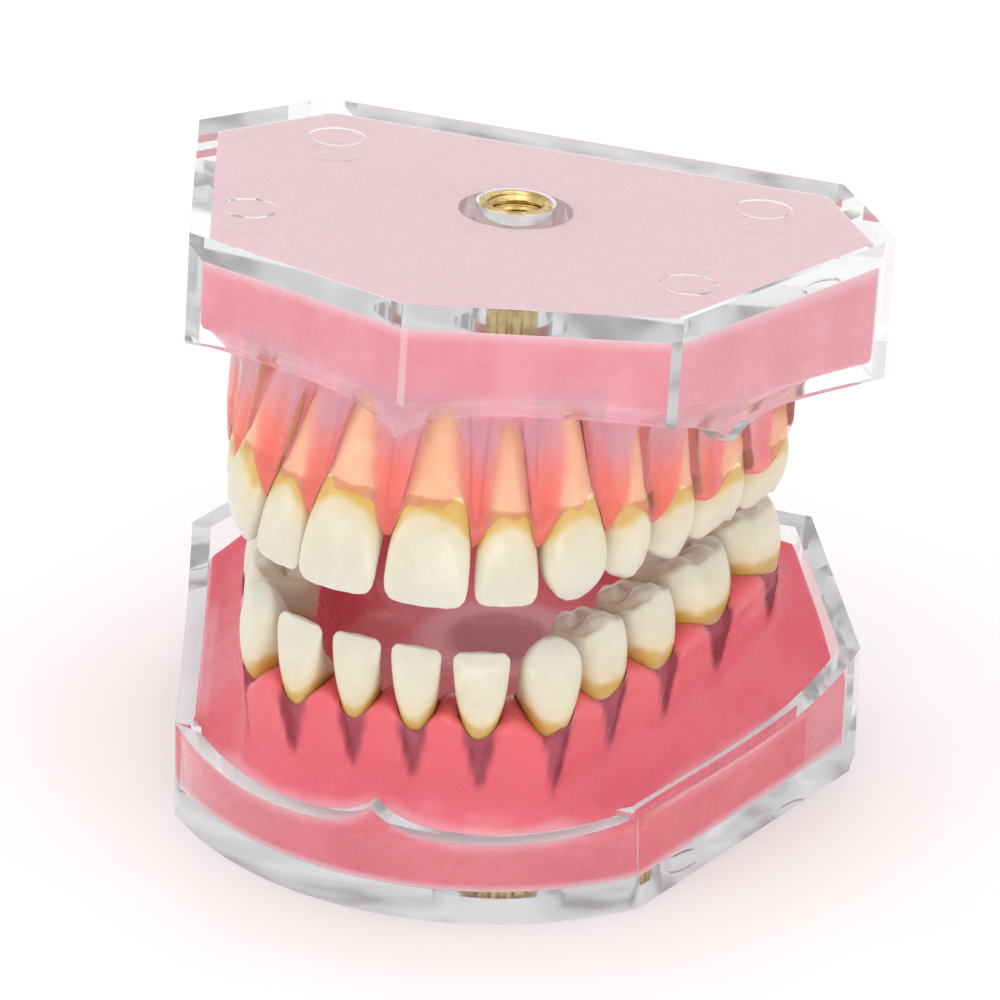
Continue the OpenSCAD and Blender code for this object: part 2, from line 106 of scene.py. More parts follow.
INNER_FACE = {
    "incisor": ((0, .45), (.12, .46), (.25, .42), (.5, .17), (.8, -.03), (1, -.13)),
    "canine": ((0, .45), (.15, .47), (.3, .42), (.55, .22), (.85, .03), (1, -.08)),
    "premolar": ((0, .44), (.25, .49), (.5, .50), (.7, .46), (.86, .40)),
    "molar": ((0, .45), (.25, .49), (.5, .50), (.7, .47), (.86, .42)),
}
INNER_TAPER = {"incisor": .34, "canine": .30, "premolar": .12, "molar": .08}
# The taper narrows the widest place too, and this gives most of that width back.
WIDEN = 1.09

# Cusps: place along and across the tooth as shares of width and depth, height as a
# share of the crown above the fissures, and spread as a share of the width.
CUSPS = {
    "upper premolar": ((0, -.27, .22, .26), (.02, .27, .15, .25)),
    "lower premolar": ((0, -.24, .22, .25), (-.12, .25, .12, .18), (.18, .24, .08, .16)),
    "upper molar": (
        (-.24, -.26, .21, .19), (.23, -.26, .19, .17),
        (-.17, .26, .20, .22), (.25, .27, .14, .15),
    ),
    "lower molar": (
        (-.27, -.25, .20, .17), (.06, -.27, .18, .15), (.33, -.17, .13, .12),
        (-.22, .27, .21, .19), (.20, .27, .20, .18),
    ),
}
CUSP_FLOOR = .80
# The main groove and a molar's cross groove: half widths as shares of the tooth, depth in mm.
GROOVE, CROSS_GROOVE, GROOVE_DEPTH = 0.035, 0.028, 0.45
# Small folds between the cusps: height as a share of the crown.
FOLDS = 0.022

# Roots of molars: place along and across as shares of width and depth, and half
# width and half depth at the neck in the same shares.
MOLAR_ROOTS = {
    "upper": ((-.2, -.2, .19, .2), (.22, -.2, .17, .19), (0, .22, .22, .2)),
    "lower": ((-.2, 0, .19, .36), (.23, 0, .17, .33)),
}


# ---------------------------------------------------------------- jaw frames

class Jaw:
    """A frame with z from the outside of the tray's plate to the biting edges, y to the back."""

    def __init__(self, name):
        mount = next(m for m in frame["record"]["mounts"] if m["name"] == name + "_thread")
        self.name = name
        self.body = name + "_jaw"
        self.origin = np.array(mount["pos_m"]) / MM
        z = -np.array(mount["axis"], float)
        x = np.array((1.0, 0.0, 0.0))
        y = np.cross(z, x)
        self.flip = y[1] < 0
        self.axes = np.array((x, -y if self.flip else y, z))

    def out(self, points):
        """Jaw millimetres to row metres."""
        return (np.asarray(points, float) @ self.axes + self.origin) * MM

    def into(self, points):
        """Row metres to jaw millimetres."""
        return (np.asarray(points, float) / MM - self.origin) @ self.axes.T

    def turn(self, direction):
        return self.axes @ np.asarray(direction, float)


def mesh_points(mesh):
    points = np.empty(len(mesh.vertices) * 3)
    mesh.vertices.foreach_get("co", points)
    return points.reshape(-1, 3)


def node_points(node, jaw):
    """The corners of a CAD piece in jaw millimetres."""
    return jaw.into(mesh_points(frame["nodes"][node].data))


def smooth_table(table, at):
    """A smooth curve through (place, value) pairs that doesn't overshoot."""
    x, y = np.array(table, float).T
    slope = np.gradient(y, x)
    step = np.diff(y) / np.diff(x)
    for k in range(1, len(x) - 1):
        if step[k - 1] * step[k] <= 0:
            slope[k] = 0
    at = np.clip(at, x[0], x[-1])
    k = np.clip(np.searchsorted(x, at, side="right") - 1, 0, len(x) - 2)
    h = x[k + 1] - x[k]
    t = (at - x[k]) / h
    return (
        (2 * t**3 - 3 * t**2 + 1) * y[k] + (t**3 - 2 * t**2 + t) * h * slope[k]
        + (3 * t**2 - 2 * t**3) * y[k + 1] + (t**3 - t**2) * h * slope[k + 1]
    )


def smoothstep(t):
    t = np.clip(t, 0, 1)
    return t * t * (3 - 2 * t)


# ---------------------------------------------------------------- mesh helpers

def grid_faces(rows, columns):
    """Faces between rows of points, each row a closed ring."""
    faces = []
    for r in range(rows - 1):
        low, high = r * columns, (r + 1) * columns
        for c in range(columns):
            n = (c + 1) % columns
            faces.append((low + c, low + n, high + n, high + c))
    return faces


def make_mesh(name, points, faces, flip=False):
    if flip:
        faces = [tuple(reversed(f)) for f in faces]
    mesh = bpy.data.meshes.new(name)
    mesh.from_pydata([tuple(p) for p in points], [], faces)
    mesh.update()
    return mesh


def make_object(name, mesh, material):
    piece = bpy.data.objects.new(name, mesh)
    bpy.context.scene.collection.objects.link(piece)
    mesh.materials.clear()
    mesh.materials.append(material)
    mesh.shade_smooth()
    return piece


def point_values(mesh, name, values):
    attribute = mesh.attributes.get(name) or mesh.attributes.new(name, "FLOAT", "POINT")
    attribute.data.foreach_set("value", np.asarray(values, np.float32))


def applied(piece):
    """The piece's mesh with its modifiers applied, in place of its own."""
    graph = bpy.context.evaluated_depsgraph_get()
    mesh = bpy.data.meshes.new_from_object(piece.evaluated_get(graph))
    piece.modifiers.clear()
    old = piece.data
    piece.data = mesh
    bpy.data.meshes.remove(old)
    return mesh


def boolean(piece, other, operation):
    step = piece.modifiers.new(operation, "BOOLEAN")
    step.operation = operation
    step.solver = "EXACT"
    step.material_mode = "TRANSFER"
    step.object = other
    return applied(piece)


# ---------------------------------------------------------------- materials

def new_material(name):
    material = bpy.data.materials.new(name)
    material.use_nodes = True
    nodes = material.node_tree.nodes
    nodes.clear()
    return material, nodes, material.node_tree.links


def add(nodes, kind, **values):
    node = nodes.new(kind)
    for key, value in values.items():
        if key in node.inputs:
            node.inputs[key].default_value = value
        else:
            setattr(node, key, value)
    return node


def ramp(nodes, links, value, stops):
    """The colour for a value from 0 to 1, by (place, colour) stops."""
    node = nodes.new("ShaderNodeValToRGB")
    node.color_ramp.interpolation = "EASE"
    points = node.color_ramp.elements
    while len(points) < len(stops):
        points.new(0.5)
    for point, (place, colour) in zip(points, stops):
        point.position = place
        point.color = (*colour, 1)
    links.new(value, node.inputs["Fac"])
    return node.outputs["Color"]


def noise(nodes, links, scale, detail):
    place = nodes.new("ShaderNodeTexCoord")
    texture = add(nodes, "ShaderNodeTexNoise", Scale=scale, Detail=detail, Roughness=0.55)
    links.new(place.outputs["Object"], texture.inputs["Vector"])
    return texture.outputs["Fac"]


def point_value(nodes, name):
    node = nodes.new("ShaderNodeAttribute")
    node.attribute_name = name
    return node.outputs["Fac"]


def bump(nodes, links, height, strength, distance):
    node = add(nodes, "ShaderNodeBump", Strength=strength, Distance=distance)
    links.new(height, node.inputs["Height"])
    return node.outputs["Normal"]


def scaled(nodes, links, value, low, high, to_low, to_high):
    node = nodes.new("ShaderNodeMapRange")
    node.inputs["From Min"].default_value = low
    node.inputs["From Max"].default_value = high
    node.inputs["To Min"].default_value = to_low
    node.inputs["To Max"].default_value = to_high
    links.new(value, node.inputs["Value"])
    return node.outputs["Result"]


def see_through(nodes, colour=(1, 1, 1)):
    return add(nodes, "ShaderNodeBsdfTransparent", Color=(*colour, 1)).outputs[0]


def mixed_colour(nodes, links, share, first, second):
    mix = add(nodes, "ShaderNodeMix", data_type="RGBA")
    links.new(share, mix.inputs["Factor"])
    links.new(first, mix.inputs["A"])
    links.new(second, mix.inputs["B"])
    return mix.outputs["Result"]


def mixed(nodes, links, share, first, second):
    mix = nodes.new("ShaderNodeMixShader")
    links.new(share, mix.inputs[0])
    links.new(first, mix.inputs[1])
    links.new(second, mix.inputs[2])
    return mix.outputs[0]


def finish_material(nodes, links, surface):
    end = nodes.new("ShaderNodeOutputMaterial")
    links.new(surface, end.inputs["Surface"])


# After this many turns inside clear walls a ray meets a painted grey glow, standing in for the light that would
# still come through there.
MOST_BENDS = 4


def clear_plastic():
    """Clear moulded plastic: it bends light for the eye and lets lamp light straight through."""
    material, nodes, links = new_material("clear_plastic")
    texture = noise(nodes, links, 900.0, 3.0)
    shader = add(nodes, "ShaderNodeBsdfPrincipled", IOR=1.49)
    shader.inputs["Base Color"].default_value = (0.975, 0.985, 0.99, 1)
    shader.inputs["Transmission Weight"].default_value = 1.0
    links.new(scaled(nodes, links, texture, 0.35, 0.75, 0.008, 0.05), shader.inputs["Roughness"])
    through = see_through(nodes, (0.95, 0.96, 0.965))
    path = nodes.new("ShaderNodeLightPath")
    deep = add(nodes, "ShaderNodeMath", operation="GREATER_THAN")
    links.new(path.outputs["Ray Depth"], deep.inputs[0])
    deep.inputs[1].default_value = MOST_BENDS
    # Painted light: a glowing grey, mottled by noise, that deep rays meet in place of the dark they would find.
    painted_glow = add(nodes, "ShaderNodeEmission", Strength=0.72)
    painted_glow_grey = ramp(nodes, links, noise(nodes, links, 90.0, 2.0), (
        (0.35, (0.50, 0.47, 0.48)), (0.5, (0.85, 0.83, 0.84)), (0.62, (0.98, 0.98, 1.0)),
    ))
    links.new(painted_glow_grey, painted_glow.inputs["Color"])
    surface = mixed(nodes, links, deep.outputs[0], shader.outputs[0], painted_glow.outputs[0])
    surface = mixed(nodes, links, path.outputs["Is Diffuse Ray"], surface, through)
    surface = mixed(nodes, links, path.outputs["Is Shadow Ray"], surface, through)
    finish_material(nodes, links, surface)
    return material


def glow_through(nodes, links, surface):
    """Ends a resin material, letting some pink lamp light through as translucent resin does."""
    path = nodes.new("ShaderNodeLightPath")
    pink = see_through(nodes, (0.86, 0.74, 0.75))
    finish_material(nodes, links, mixed(nodes, links, path.outputs["Is Shadow Ray"], surface, pink))


def gum_resin(name, light, deep, veil, gap_tip_colour, gap_deep_shade):
    """Cast pink resin. The point value "clear" says how much of what lies under it shows, the
    painted-light value is 1 where painted light lifts the pink, and "gap" is 1 in the hollows between two roots."""
    material, nodes, links = new_material(name)
    cloud = noise(nodes, links, 160.0, 5.0)
    pale = point_value(nodes, "pale")
    colour = ramp(nodes, links, cloud, ((0.30, deep), (0.72, light)))
    # Between two roots the colour runs from the tip colour near the teeth to a darker one further up; on the upper
    # jaw that purple-grey is painted shade in the recesses.
    gap_colour_and_shade = ramp(nodes, links, point_value(nodes, "depth"), ((0.05, gap_tip_colour), (0.65, gap_deep_shade)))
    colour = mixed_colour(nodes, links, point_value(nodes, "gap"), colour, gap_colour_and_shade)
    # Painted light: a light pink that lifts the resin where it lies in shade, against the plate and round the
    # boss, and a painted highlight along the rim.
    painted_light_pink = add(nodes, "ShaderNodeRGB")
    painted_light_pink.outputs[0].default_value = (0.80, 0.45, 0.50, 1)
    colour = mixed_colour(nodes, links, pale, colour, painted_light_pink.outputs[0])
    shader = add(nodes, "ShaderNodeBsdfPrincipled", IOR=1.5)
    links.new(colour, shader.inputs["Base Color"])
    shader.inputs["Subsurface Weight"].default_value = 0.35
    shader.inputs["Subsurface Radius"].default_value = (1.0, 0.35, 0.35)
    shader.inputs["Subsurface Scale"].default_value = 0.0022
    shader.inputs["Specular IOR Level"].default_value = 0.35
    shader.inputs["Coat Weight"].default_value = 0.12
    shader.inputs["Coat Roughness"].default_value = 0.08
    fine = noise(nodes, links, 700.0, 3.0)
    links.new(scaled(nodes, links, fine, 0.3, 0.7, 0.22, 0.36), shader.inputs["Roughness"])
    waves = add(nodes, "ShaderNodeBump", Distance=0.0006)
    links.new(cloud, waves.inputs["Height"])
    links.new(scaled(nodes, links, pale, 0.0, 1.0, 0.25, 0.02), waves.inputs["Strength"])
    links.new(waves.outputs["Normal"], shader.inputs["Normal"])
    through = see_through(nodes, veil)
    surface = mixed(nodes, links, point_value(nodes, "clear"), shader.outputs[0], through)
    glow_through(nodes, links, surface)
    return material


def socket_resin(name, shade, share):
    """The wall of a socket, seen through the gum's skin as a dim shape round the root. On the lower jaw its dark
    mauve is painted shade for the hollow socket.
    """
    material, nodes, links = new_material(name)
    cloud = noise(nodes, links, 500.0, 4.0)
    milky = tuple(0.6 * c + 0.4 for c in shade)
    shader = add(nodes, "ShaderNodeBsdfPrincipled", Roughness=0.25)
    links.new(ramp(nodes, links, cloud, ((0.3, shade), (0.7, milky))), shader.inputs["Base Color"])
    share = scaled(nodes, links, cloud, 0.3, 0.7, share, share * 0.6)
    surface = mixed(nodes, links, share, see_through(nodes), shader.outputs[0])
    finish_material(nodes, links, surface)
    return material


def core_resin(name, colour_a, colour_b):
    """The cloudy inside of a gum, behind its clear skin."""
    material, nodes, links = new_material(name)
    cloud = noise(nodes, links, 220.0, 4.0)
    shader = add(nodes, "ShaderNodeBsdfPrincipled", Roughness=0.55)
    links.new(ramp(nodes, links, cloud, ((0.35, colour_a), (0.7, colour_b))), shader.inputs["Base Color"])
    glow_through(nodes, links, shader.outputs[0])
    return material


def tooth_resin(name, neck_colour, root_colour):
    """Ivory crown, ochre neck and amber root, by the height over the neck line in "neck"."""
    material, nodes, links = new_material(name)
    shift = add(nodes, "ShaderNodeMath", operation="MULTIPLY_ADD")
    links.new(noise(nodes, links, 420.0, 3.0), shift.inputs[0])
    shift.inputs[1].default_value = 1.4
    links.new(point_value(nodes, "neck"), shift.inputs[2])
    place = scaled(nodes, links, shift.outputs[0], -12.0, 12.0, 0.0, 1.0)
    colour = ramp(nodes, links, place, (
        (0.0, root_colour), (0.53, root_colour), (0.545, neck_colour), (0.575, neck_colour),
        (0.625, (0.71, 0.61, 0.41)), (0.69, (0.70, 0.64, 0.50)), (0.88, (0.685, 0.645, 0.54)),
        (1.0, (0.64, 0.63, 0.57)),
    ))
    cloud = noise(nodes, links, 260.0, 4.0)
    tone = add(nodes, "ShaderNodeHueSaturation")
    links.new(scaled(nodes, links, cloud, 0.3, 0.7, 0.94, 1.05), tone.inputs["Value"])
    links.new(scaled(nodes, links, cloud, 0.3, 0.7, 1.12, 0.9), tone.inputs["Saturation"])
    links.new(colour, tone.inputs["Color"])
    shader = add(nodes, "ShaderNodeBsdfPrincipled", IOR=1.5)
    links.new(tone.outputs["Color"], shader.inputs["Base Color"])
    shader.inputs["Subsurface Weight"].default_value = 0.3
    shader.inputs["Subsurface Radius"].default_value = (1.0, 0.75, 0.45)
    shader.inputs["Subsurface Scale"].default_value = 0.0012
    shader.inputs["Coat Weight"].default_value = 0.25
    shader.inputs["Coat Roughness"].default_value = 0.18
    fine = noise(nodes, links, 1500.0, 4.0)
    links.new(scaled(nodes, links, fine, 0.3, 0.7, 0.26, 0.42), shader.inputs["Roughness"])
    links.new(bump(nodes, links, fine, 0.18, 0.00025), shader.inputs["Normal"])
    finish_material(nodes, links, shader.outputs[0])
    return material


def brass():
    material, nodes, links = new_material("brass")
    stain = noise(nodes, links, 700.0, 5.0)
    colour = ramp(nodes, links, stain, (
        (0.3, (0.45, 0.30, 0.10)), (0.6, (0.80, 0.60, 0.26)), (0.8, (0.90, 0.74, 0.40)),
    ))
    shader = add(nodes, "ShaderNodeBsdfPrincipled", Metallic=1.0)
    links.new(colour, shader.inputs["Base Color"])
    links.new(scaled(nodes, links, stain, 0.3, 0.7, 0.34, 0.18), shader.inputs["Roughness"])
    links.new(bump(nodes, links, stain, 0.2, 0.0001), shader.inputs["Normal"])
    finish_material(nodes, links, shader.outputs[0])
    return material


def floor_paint():
    material, nodes, links = new_material("floor_paint")
    texture = noise(nodes, links, 30.0, 2.0)
    colour = ramp(nodes, links, texture, ((0.3, (0.94, 0.94, 0.94)), (0.7, (0.96, 0.96, 0.96))))
    shader = add(nodes, "ShaderNodeBsdfPrincipled", Roughness=0.6)
    links.new(colour, shader.inputs["Base Color"])
    finish_material(nodes, links, shader.outputs[0])
    return material


CLEAR = clear_plastic()
BRASS = brass()
GUM = {
    "upper": gum_resin(
        "upper_pink_resin", (0.82, 0.27, 0.33), (0.76, 0.20, 0.25), (1.0, 0.93, 0.88),
        (0.86, 0.17, 0.14), (0.62, 0.30, 0.38),
    ),
    "lower": gum_resin(
        "lower_pink_resin", (0.74, 0.15, 0.19), (0.68, 0.105, 0.145), (0.90, 0.54, 0.62),
        (0.75, 0.125, 0.15), (0.72, 0.12, 0.16),
    ),
}
CORE = {
    # The upper core's pink is lighter than the resin, as painted light where it lies in shade under the skin.
    "upper": core_resin("upper_core_resin", (0.84, 0.34, 0.34), (0.90, 0.44, 0.44)),
    "lower": core_resin("lower_core_resin", (0.58, 0.10, 0.16), (0.70, 0.16, 0.22)),
}
# The lower sockets' dark mauve is painted shade round the roots; the upper ones carry only a faint orange tint.
SOCKET = {
    "upper": socket_resin("upper_socket_resin", (0.88, 0.50, 0.48), 0.16),
    "lower": socket_resin("lower_socket_resin", (0.30, 0.12, 0.25), 0.85),
}
TOOTH = {
    "upper": tooth_resin("upper_tooth_resin", (0.66, 0.42, 0.11), (0.98, 0.74, 0.46)),
    "lower": tooth_resin("lower_tooth_resin", (0.58, 0.36, 0.09), (0.62, 0.34, 0.20)),
}


# ---------------------------------------------------------------- teeth

class Tooth:
    """One tooth's place, taken from its CAD node and joint, and its shape."""

    def __init__(self, jaw, index, side):
        self.jaw, self.index, self.side = jaw, index, side
        self.kind = KIND[index]
        self.profile = self.kind if index > 2 else f"{jaw.name} {self.kind}"
        self.node = f"{jaw.name}_{side}_{TEETH[index]}"
        self.width, self.depth, self.crown, self.root, facing = SIZES[jaw.name][index]
        joint = next(j for j in frame["joints"] if j["child"] == self.node + "_body")
        self.axis = jaw.turn(joint["axis"])
        sign = SIDES[side]
        yaw = math.radians(facing)
        along = np.array((sign * math.cos(yaw), math.sin(yaw), 0.0))
        along -= self.axis * (along @ self.axis)
        self.along = along / np.linalg.norm(along)
        self.inward = np.cross(self.axis, self.along) * sign
        self.rows = np.array((self.along, self.inward, self.axis))
        points = node_points(self.node, jaw)
        up = points @ self.axis
        neck = points[np.abs(up - up.min() - self.root) < 0.03]
        local = np.array((neck @ self.along, neck @ self.inward))
        middle = (local.min(1) + local.max(1)) / 2
        self.neck = (
            self.along * middle[0] + self.inward * middle[1] + self.axis * (up.min() + self.root)
        )

    def place(self, local):
        """Tooth millimetres (along, inward, up) to row metres."""
        return self.jaw.out(np.asarray(local, float) @ self.rows + self.neck)

    def local(self, points):
        """Jaw millimetres to tooth millimetres."""
        return (points - self.neck) @ self.rows.T

    @property
    def flip(self):
        handed = np.linalg.det(self.rows) < 0
        return bool(handed) != bool(self.jaw.flip)


def crown_ring(tooth, level, angles):
    """x and y of the crown's outline at a level."""
    kind = tooth.kind
    outer = smooth_table(OUTER_FACE[kind], level) * tooth.depth
    inner = smooth_table(INNER_FACE[kind], level) * tooth.depth
    half = smooth_table(HALF_WIDTH[tooth.profile], level) * tooth.width
    square = 0.8 if kind != "molar" else 0.74
    c = np.sign(np.cos(angles)) * np.abs(np.cos(angles)) ** square
    s = np.sign(np.sin(angles)) * np.abs(np.sin(angles)) ** square
    x = WIDEN * half * c * (1 - INNER_TAPER[kind] * (1 + s) / 2)
    y = (outer + inner) / 2 + (inner - outer) / 2 * s
    if kind in ("incisor", "canine"):
        # three faint lobes on the outer face, stronger towards the edge
        lobes = np.cos(x / (0.5 * tooth.width) * 2.6 * np.pi)
        y = y - 0.006 * tooth.depth * lobes * np.clip(-s, 0, 1) * smoothstep((level - 0.3) / 0.5)
    return x, y


def occlusal_height(tooth, x, y):
    """Height of the chewing surface of a back tooth."""
    cusps = CUSPS[f"{tooth.jaw.name} {tooth.kind}"]
    total = np.zeros_like(x)
    for cx, cy, tall, spread in cusps:
        d2 = ((x - cx * tooth.width) / (spread * tooth.width)) ** 2
        d2 = d2 + ((y - cy * tooth.depth) / (spread * tooth.width * 1.05)) ** 2
        total = np.maximum(total, tall * np.exp(-d2 / 1.6))
    along, across = x / tooth.width, y / tooth.depth
    groove = np.exp(-((across + 0.01 * np.sin(9 * along)) / GROOVE) ** 2)
    groove = groove * smoothstep((0.42 - np.abs(along)) / 0.1)
    if tooth.kind == "molar":
        cross = np.exp(-((along + 0.12 * across) / CROSS_GROOVE) ** 2)
        groove = np.maximum(groove, cross * 0.8)
    total = total + FOLDS * np.cos(19 * along) * np.cos(17 * across)
    return tooth.crown * (CUSP_FLOOR + total) - GROOVE_DEPTH * groove


# Level at which a back tooth's walls end and its chewing surface begins.
CHEWING_RIM = 0.86


def crown_points(tooth, angles, wall_rows, top_rows):
    """Rows of the crown from the neck up; the last row is the middle of the top."""
    rows = []
    if tooth.kind in ("incisor", "canine"):
        levels = 1 - (1 - np.linspace(0, 1, wall_rows + top_rows)) ** 1.5
        for level in levels:
            x, y = crown_ring(tooth, level, angles)
            rise = tooth.crown * level * np.ones_like(x)
            rows.append((x, y, rise))
        x, y, rise = rows[-1]
        middle = y.mean()
        # the cap ends in a line, where its outer and inner halves have to meet
        line = 0.85 * (x + x[::-1]) / 2
        for share in (0.8, 0.5, 0.0):
            swell = 0.012 * tooth.depth * (1 - share**2)
            rows.append((line + (x - line) * share, middle + (y - middle) * share, rise + swell))
        if tooth.kind == "incisor":
            lobes = 5.2 * np.pi / tooth.width
            rows = [
                (a, b, c + 0.04 * np.cos(a * lobes) * smoothstep((c / tooth.crown - 0.9) / 0.1))
                for a, b, c in rows
            ]
        return rows
    x_rim, y_rim = crown_ring(tooth, CHEWING_RIM, angles)
    top = occlusal_height(tooth, x_rim, y_rim)
    for level in np.linspace(0, CHEWING_RIM, wall_rows):
        x, y = crown_ring(tooth, level, angles)
        rows.append((x, y, top * level / CHEWING_RIM))
    middle = y_rim.mean()
    for share in np.linspace(1, 0, top_rows + 1)[1:]:
        x, y = x_rim * share, middle + (y_rim - middle) * share
        rows.append((x, y, occlusal_height(tooth, x, y)))
    return rows


# A root's width near its tip, as a share of the width at the neck, and the share of its
# length over which the tip is rounded.
ROOT_TIP, TIP_ROUND = 0.42, 0.16


def root_rows(tooth, angles, count, spot=None):
    """Rows of one root from its tip up to the neck."""
    if spot is None:
        cx, cy = 0.0, 0.0
        half_x = np.ptp(crown_ring(tooth, 0.0, angles)[0]) / 2
        half_x = half_x / (1 - INNER_TAPER[tooth.kind] / 2)
        half_y = 0.45 * tooth.depth
        taper = INNER_TAPER[tooth.kind]
    else:
        cx, cy = spot[0] * tooth.width, spot[1] * tooth.depth
        half_x, half_y = spot[2] * tooth.width, spot[3] * tooth.depth
        taper = 0.0
    rows = []
    s, c = np.sin(angles), np.cos(angles)
    for t in np.linspace(0, 1, count):
        share = ROOT_TIP + (1 - ROOT_TIP) * t**0.9
        if t < TIP_ROUND:
            share = share * math.sqrt(1 - (1 - t / TIP_ROUND) ** 2)
        x = cx + half_x * share * c * (1 - taper * (1 + s) / 2)
        y = cy + half_y * share * s
        rows.append((x, y, np.full_like(x, -tooth.root * (1 - t))))
    return rows


def closed_rows(rows, columns):
    """Points and faces of a closed shape whose first and last rows shut on themselves."""
    points = np.concatenate([np.stack(row, 1) for row in rows])
    faces = grid_faces(len(rows), columns)
    return points, faces


def welded(mesh):
    """The mesh with its double points joined, nothing loose in it and its faces outwards."""
    work = bmesh.new()
    work.from_mesh(mesh)
    bmesh.ops.remove_doubles(work, verts=work.verts, dist=1e-6)
    bmesh.ops.dissolve_degenerate(work, edges=work.edges, dist=1e-7)
    loose = [v for v in work.verts if not v.link_faces]
    bmesh.ops.delete(work, geom=loose, context="VERTS")
    wires = [e for e in work.edges if not e.link_faces]
    bmesh.ops.delete(work, geom=wires, context="EDGES")
    bmesh.ops.recalc_face_normals(work, faces=work.faces)
    if work.calc_volume(signed=True) < 0:
        bmesh.ops.reverse_faces(work, faces=work.faces)
    work.to_mesh(mesh)
    work.free()
    return mesh


# Depth under the neck where a molar's trunk ends, and where its roots start inside the trunk.
TRUNK, ROOT_LID = 3.2, 1.2


def tooth_mesh(tooth, columns=44, grow=0.0, coarse=False):
    """The tooth's mesh in row metres. grow pushes its surface out, for cutting sockets."""
    walls, tops, roots = (12, 5, 8) if coarse else (18, 14, 16)
    angles = np.linspace(0, 2 * np.pi, columns, endpoint=False) + np.pi / columns
    crown = crown_points(tooth, angles, walls, tops)
    if tooth.kind != "molar":
        rows = root_rows(tooth, angles, roots)[:-1] + crown
        points, faces = closed_rows(rows, columns)
        parts = [(points, faces)]
    else:
        x, y, _ = crown[0]
        trunk = []
        for t, share in ((1.0, 0.0), (1.0, 0.75), (0.8, 0.9), (0.45, 0.97)):
            trunk.append((x * share, y * share, np.full_like(x, -TRUNK * t)))
        parts = [closed_rows(trunk + crown, columns)]
        for spot in MOLAR_ROOTS[tooth.jaw.name]:
            rows = root_rows(tooth, angles, roots, spot)
            x, y, z = rows[-1]
            lid = (x * 0 + x.mean(), y * 0 + y.mean(), z * 0)
            rows = [(a, b, np.minimum(c, -ROOT_LID)) for a, b, c in rows]
            rows.append((lid[0], lid[1], lid[2] - ROOT_LID))
            parts.append(closed_rows(rows, columns))
    pieces = []
    for k, (points, faces) in enumerate(parts):
        mesh = welded(make_mesh(f"{tooth.node}_{k}", tooth.place(points), faces, tooth.flip))
        if grow:
            normals = np.empty(len(mesh.vertices) * 3)
            mesh.vertices.foreach_get("normal", normals)
            moved = mesh_points(mesh) + normals.reshape(-1, 3) * grow * MM
            mesh.vertices.foreach_set("co", moved.ravel())
            mesh.update()
        pieces.append(mesh)
    if len(pieces) == 1:
        return pieces[0]
    whole = make_object(tooth.node + "_whole", pieces[0], CLEAR)
    for mesh in pieces[1:]:
        part = make_object(tooth.node + "_part", mesh, CLEAR)
        boolean(whole, part, "UNION")
        bpy.data.objects.remove(part)
    mesh = whole.data
    bpy.data.objects.remove(whole)
    return mesh


# Height over the neck where the ochre is strongest.
OCHRE = 0.6


def neck_heights(tooth, mesh):
    """Height of each point over the neck line, which dips towards the root outside and inside. The dip also runs
    the ochre up the sides next to the neighbours, partly as the neck line does and partly as painted shade between
    the teeth.
    """
    local = tooth.local(tooth.jaw.into(mesh_points(mesh)))
    across = np.clip(np.abs(local[:, 0]) / (0.4 * tooth.width), 0, 1)
    # Partly painted shade: the ochre climbs the sides that face the next teeth.
    neck_dip_and_side_shade = 2.0 if tooth.kind in ("incisor", "canine") else 1.0
    return np.maximum(local[:, 2] - neck_dip_and_side_shade * across**2, np.minimum(local[:, 2], OCHRE))


def build_tooth(tooth):
    mesh = tooth_mesh(tooth)
    mesh.name = tooth.node
    piece = make_object("vis_" + tooth.node, mesh, TOOTH[tooth.jaw.name])
    point_values(mesh, "neck", neck_heights(tooth, mesh))
    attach(piece, tooth.node + "_body")
    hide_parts(tooth.node)
    return piece


# ---------------------------------------------------------------- trays

def build_tray(jaw):
    """The CAD tray with its flat faces joined up and its edges rounded."""
    node = jaw.name + "_tray"
    mesh = frame["nodes"][node].data.copy()
    mesh.name = node + "_clear"
    work = bmesh.new()
    work.from_mesh(mesh)
    bmesh.ops.remove_doubles(work, verts=work.verts, dist=1e-6)
    bmesh.ops.dissolve_limit(
        work, angle_limit=math.radians(0.6), verts=work.verts, edges=work.edges
    )
    work.to_mesh(mesh)
    work.free()
    piece = make_object("vis_" + node, mesh, CLEAR)
    soften = piece.modifiers.new("soften", "BEVEL")
    soften.width = 0.28 * MM
    soften.segments = 3
    soften.limit_method = "ANGLE"
    soften.angle_limit = math.radians(32)
    soften.harden_normals = True
    flat = piece.modifiers.new("flat", "WEIGHTED_NORMAL")
    flat.mode = "FACE_AREA"
    flat.weight = 100
    applied(piece)
    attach(piece, jaw.body)
    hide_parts(node)
    return piece


# ---------------------------------------------------------------- brass inserts

